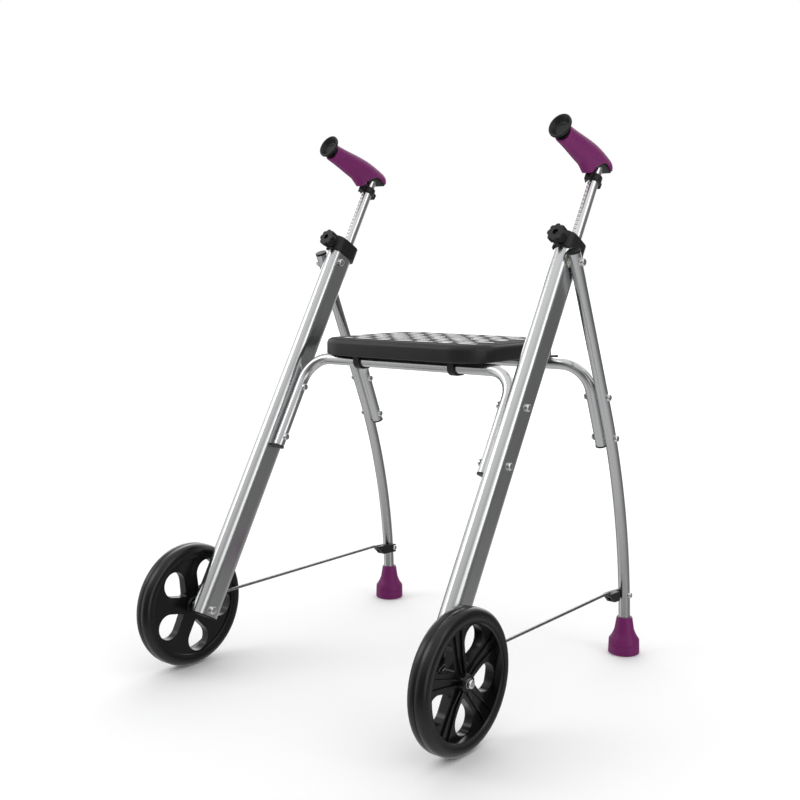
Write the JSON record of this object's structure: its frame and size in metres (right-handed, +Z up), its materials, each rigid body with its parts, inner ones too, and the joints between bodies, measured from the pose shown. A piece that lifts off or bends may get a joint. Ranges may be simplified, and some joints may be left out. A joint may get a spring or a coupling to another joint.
{
  "type": "folding walking frame",
  "caption": "Aluminium walking frame with wheels at the front, rubber feet at the rear, a flip-up seat, side braces and height-adjustable palm grips.",
  "frame": {"origin": "middle of the footprint, on the floor under the wheels and feet", "axes": "+Z up, wheels at the -Y end, feet at the +Y end, X across the frame"},
  "size_m": [0.5868, 0.62, 0.8725],
  "materials": {
    "axle_bolts": "zinc plated",
    "axle_nuts": "plated",
    "axle_spacers": "moulded, fine texture",
    "brace_brackets": "moulded, fine texture",
    "brace_rod_left": "zinc plated wire",
    "brace_rod_right": "zinc plated wire",
    "bracket_bolts": "zinc plated",
    "bracket_nuts": "plated",
    "clamp_collar_left": "moulded, fine texture",
    "clamp_collar_right": "moulded, fine texture",
    "clamp_knob_left": "moulded, fine texture",
    "clamp_knob_right": "moulded, fine texture",
    "clamp_stud_left": "zinc plated",
    "clamp_stud_right": "zinc plated",
    "ferrule_left": "satin",
    "ferrule_right": "satin",
    "front_leg_end_plugs": "moulded, fine texture",
    "front_leg_left": "satin anodised",
    "front_leg_right": "satin anodised",
    "front_u_bolts": "zinc plated",
    "front_u_end_plugs": "moulded, fine texture",
    "front_u_frame": "satin anodised",
    "front_u_nuts": "plated",
    "grip_collar_left": "moulded, fine texture",
    "grip_collar_right": "moulded, fine texture",
    "grip_core_left": "moulded, fine texture",
    "grip_core_right": "moulded, fine texture",
    "grip_ring_left": "moulded, fine texture",
    "grip_ring_right": "moulded, fine texture",
    "grip_sleeve_left": "satin, soft",
    "grip_sleeve_right": "satin, soft",
    "pivot_bolts": "zinc plated",
    "pivot_bushes": "natural nylon",
    "pivot_nuts": "plated",
    "pivot_washers": "natural nylon",
    "rear_leg_caps": "moulded, fine texture",
    "rear_leg_left": "satin anodised",
    "rear_leg_right": "satin anodised",
    "rear_u_bolts": "zinc plated",
    "rear_u_end_plugs": "moulded, fine texture",
    "rear_u_frame": "satin anodised",
    "rear_u_nuts": "plated",
    "seat_board": "glossy raised tiles",
    "seat_clips": "moulded, fine texture",
    "seat_rests": "moulded, fine texture",
    "seat_screws": "zinc plated",
    "stem_glide_left": "moulded, fine texture",
    "stem_glide_right": "moulded, fine texture",
    "stem_left": "bright anodised",
    "stem_liners": "moulded, fine texture",
    "stem_right": "bright anodised",
    "tyre_left": "smooth",
    "tyre_right": "smooth",
    "wheel_bush_left": "natural nylon",
    "wheel_bush_right": "natural nylon",
    "wheel_hub_left": "glossy",
    "wheel_hub_right": "glossy"
  },
  "bodies": {
    "front_frame": {"front_leg_left": "front_leg_left", "front_leg_right": "front_leg_right", "front_leg_end_plugs": "front_leg_end_plugs", "front_u_frame": "front_u_frame", "front_u_end_plugs": "front_u_end_plugs", "front_u_bolts": "front_u_bolts", "front_u_nuts": "front_u_nuts", "axle_bolts": "axle_bolts", "axle_nuts": "axle_nuts", "axle_spacers": "axle_spacers", "clamp_collar_left": "clamp_collar_left", "clamp_collar_right": "clamp_collar_right", "stem_liners": "stem_liners", "pivot_bolts": "pivot_bolts", "pivot_nuts": "pivot_nuts", "pivot_washers": "pivot_washers"},
    "rear_frame": {"rear_leg_left": "rear_leg_left", "rear_leg_right": "rear_leg_right", "rear_leg_caps": "rear_leg_caps", "ferrule_left": "ferrule_left", "ferrule_right": "ferrule_right", "rear_u_frame": "rear_u_frame", "rear_u_end_plugs": "rear_u_end_plugs", "rear_u_bolts": "rear_u_bolts", "rear_u_nuts": "rear_u_nuts", "pivot_bushes": "pivot_bushes", "brace_brackets": "brace_brackets", "bracket_bolts": "bracket_bolts", "bracket_nuts": "bracket_nuts"},
    "seat": {"seat_board": "seat_board", "seat_clips": "seat_clips", "seat_screws": "seat_screws", "seat_rests": "seat_rests"},
    "wheel_left": {"tyre_left": "tyre_left", "wheel_hub_left": "wheel_hub_left", "wheel_bush_left": "wheel_bush_left"},
    "handle_left": {"stem_left": "stem_left", "stem_glide_left": "stem_glide_left", "grip_core_left": "grip_core_left", "grip_sleeve_left": "grip_sleeve_left", "grip_ring_left": "grip_ring_left", "grip_collar_left": "grip_collar_left"},
    "knob_left": {"clamp_knob_left": "clamp_knob_left", "clamp_stud_left": "clamp_stud_left"},
    "brace_left": {"brace_rod_left": "brace_rod_left"},
    "wheel_right": {"tyre_right": "tyre_right", "wheel_hub_right": "wheel_hub_right", "wheel_bush_right": "wheel_bush_right"},
    "handle_right": {"stem_right": "stem_right", "stem_glide_right": "stem_glide_right", "grip_core_right": "grip_core_right", "grip_sleeve_right": "grip_sleeve_right", "grip_ring_right": "grip_ring_right", "grip_collar_right": "grip_collar_right"},
    "knob_right": {"clamp_knob_right": "clamp_knob_right", "clamp_stud_right": "clamp_stud_right"},
    "brace_right": {"brace_rod_right": "brace_rod_right"}
  },
  "joints": [
    {"name": "fold", "type": "hinge", "parent": "front_frame", "child": "rear_frame", "pos_m": [0, 0.10208, 0.65396], "axis": [-1, 0, 0], "range_deg": [0, 30]},
    {"name": "seat_hinge", "type": "hinge", "parent": "front_frame", "child": "seat", "pos_m": [0, 0.01581, 0.4927], "axis": [1, 0, 0], "range_deg": [0, 75]},
    {"name": "wheel_spin_left", "type": "hinge", "parent": "front_frame", "child": "wheel_left", "pos_m": [-0.2725, -0.21, 0.1], "axis": [1, 0, 0], "continuous": true},
    {"name": "handle_height_left", "type": "slide", "parent": "front_frame", "child": "handle_left", "axis": [0, 0.4985, 0.8669], "range_m": [-0.1, 0.06]},
    {"name": "knob_turn_left", "type": "hinge", "parent": "front_frame", "child": "knob_left", "pos_m": [-0.2318, 0.08147, 0.69916], "axis": [0, -0.8669, 0.4985], "range_deg": [0, 540]},
    {"name": "brace_lift_left", "type": "hinge", "parent": "rear_frame", "child": "brace_left", "pos_m": [-0.25, 0.244, 0.105], "axis": [-1, 0, 0], "range_deg": [0, 36]},
    {"name": "wheel_spin_right", "type": "hinge", "parent": "front_frame", "child": "wheel_right", "pos_m": [0.2725, -0.21, 0.1], "axis": [1, 0, 0], "continuous": true},
    {"name": "handle_height_right", "type": "slide", "parent": "front_frame", "child": "handle_right", "axis": [0, 0.4985, 0.8669], "range_m": [-0.1, 0.06]},
    {"name": "knob_turn_right", "type": "hinge", "parent": "front_frame", "child": "knob_right", "pos_m": [0.2318, 0.08147, 0.69916], "axis": [0, -0.8669, 0.4985], "range_deg": [0, 540]},
    {"name": "brace_lift_right", "type": "hinge", "parent": "rear_frame", "child": "brace_right", "pos_m": [0.25, 0.244, 0.105], "axis": [-1, 0, 0], "range_deg": [0, 36]}
  ]
}
